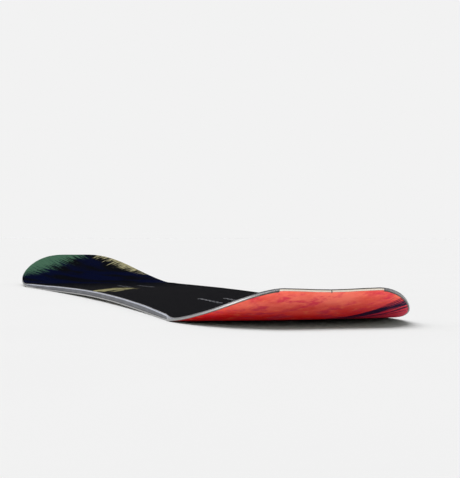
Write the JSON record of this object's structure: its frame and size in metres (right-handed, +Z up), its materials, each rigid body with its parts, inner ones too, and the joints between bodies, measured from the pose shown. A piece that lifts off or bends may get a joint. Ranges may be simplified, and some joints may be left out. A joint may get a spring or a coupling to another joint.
{
  "type": "snowboard",
  "caption": "Directional camber snowboard with a long rounded nose, a short blunt tail, steel edges, wood core and threaded binding inserts.",
  "frame": {"origin": "under the middle of the overall length, on the centreline, at the level the board rests on", "axes": "+X towards the nose, +Y to the left side seen from above looking at the nose, +Z up, square to the deck"},
  "size_m": [1.59, 0.3014, 0.062],
  "materials": {
    "topsheet": "satin printed topsheet",
    "base": "ground running base",
    "edge_steel": "ground",
    "sidewall": "milled",
    "guard": "milled",
    "laminate": "resin and glass fibre",
    "core_wood": "planed",
    "core_hardwood": "planed",
    "spacer": "smooth",
    "rubber": "matt foil",
    "insert_steel": "turned stainless",
    "insert_backing": "resin and glass fibre"
  },
  "bodies": {
    "root": {"base_sheet": "base", "bottom_glass": "laminate", "core_centre": "core_wood", "core_inner_left": "core_wood", "core_inner_right": "core_wood", "core_middle_left": "core_wood", "core_middle_right": "core_wood", "core_outer_left": "core_hardwood", "core_outer_right": "core_hardwood", "edge_damping_left": "rubber", "edge_damping_right": "rubber", "insert_backing_front": "insert_backing", "insert_backing_rear": "insert_backing", "insert_front_left_1": "insert_steel", "insert_front_left_2": "insert_steel", "insert_front_left_3": "insert_steel", "insert_front_left_4": "insert_steel", "insert_front_left_5": "insert_steel", "insert_front_left_6": "insert_steel", "insert_front_right_1": "insert_steel", "insert_front_right_2": "insert_steel", "insert_front_right_3": "insert_steel", "insert_front_right_4": "insert_steel", "insert_front_right_5": "insert_steel", "insert_front_right_6": "insert_steel", "insert_rear_left_1": "insert_steel", "insert_rear_left_2": "insert_steel", "insert_rear_left_3": "insert_steel", "insert_rear_left_4": "insert_steel", "insert_rear_left_5": "insert_steel", "insert_rear_left_6": "insert_steel", "insert_rear_right_1": "insert_steel", "insert_rear_right_2": "insert_steel", "insert_rear_right_3": "insert_steel", "insert_rear_right_4": "insert_steel", "insert_rear_right_5": "insert_steel", "insert_rear_right_6": "insert_steel", "nose_guard_left": "guard", "nose_guard_right": "guard", "nose_rim_left": "sidewall", "nose_rim_right": "sidewall", "nose_spacer": "spacer", "sidewall_left": "sidewall", "sidewall_right": "sidewall", "steel_edge_left": "edge_steel", "steel_edge_right": "edge_steel", "tail_guard_left": "guard", "tail_guard_right": "guard", "tail_rim_left": "sidewall", "tail_rim_right": "sidewall", "tail_spacer": "spacer", "top_glass": "laminate", "topsheet": "topsheet"}
  },
  "joints": []
}
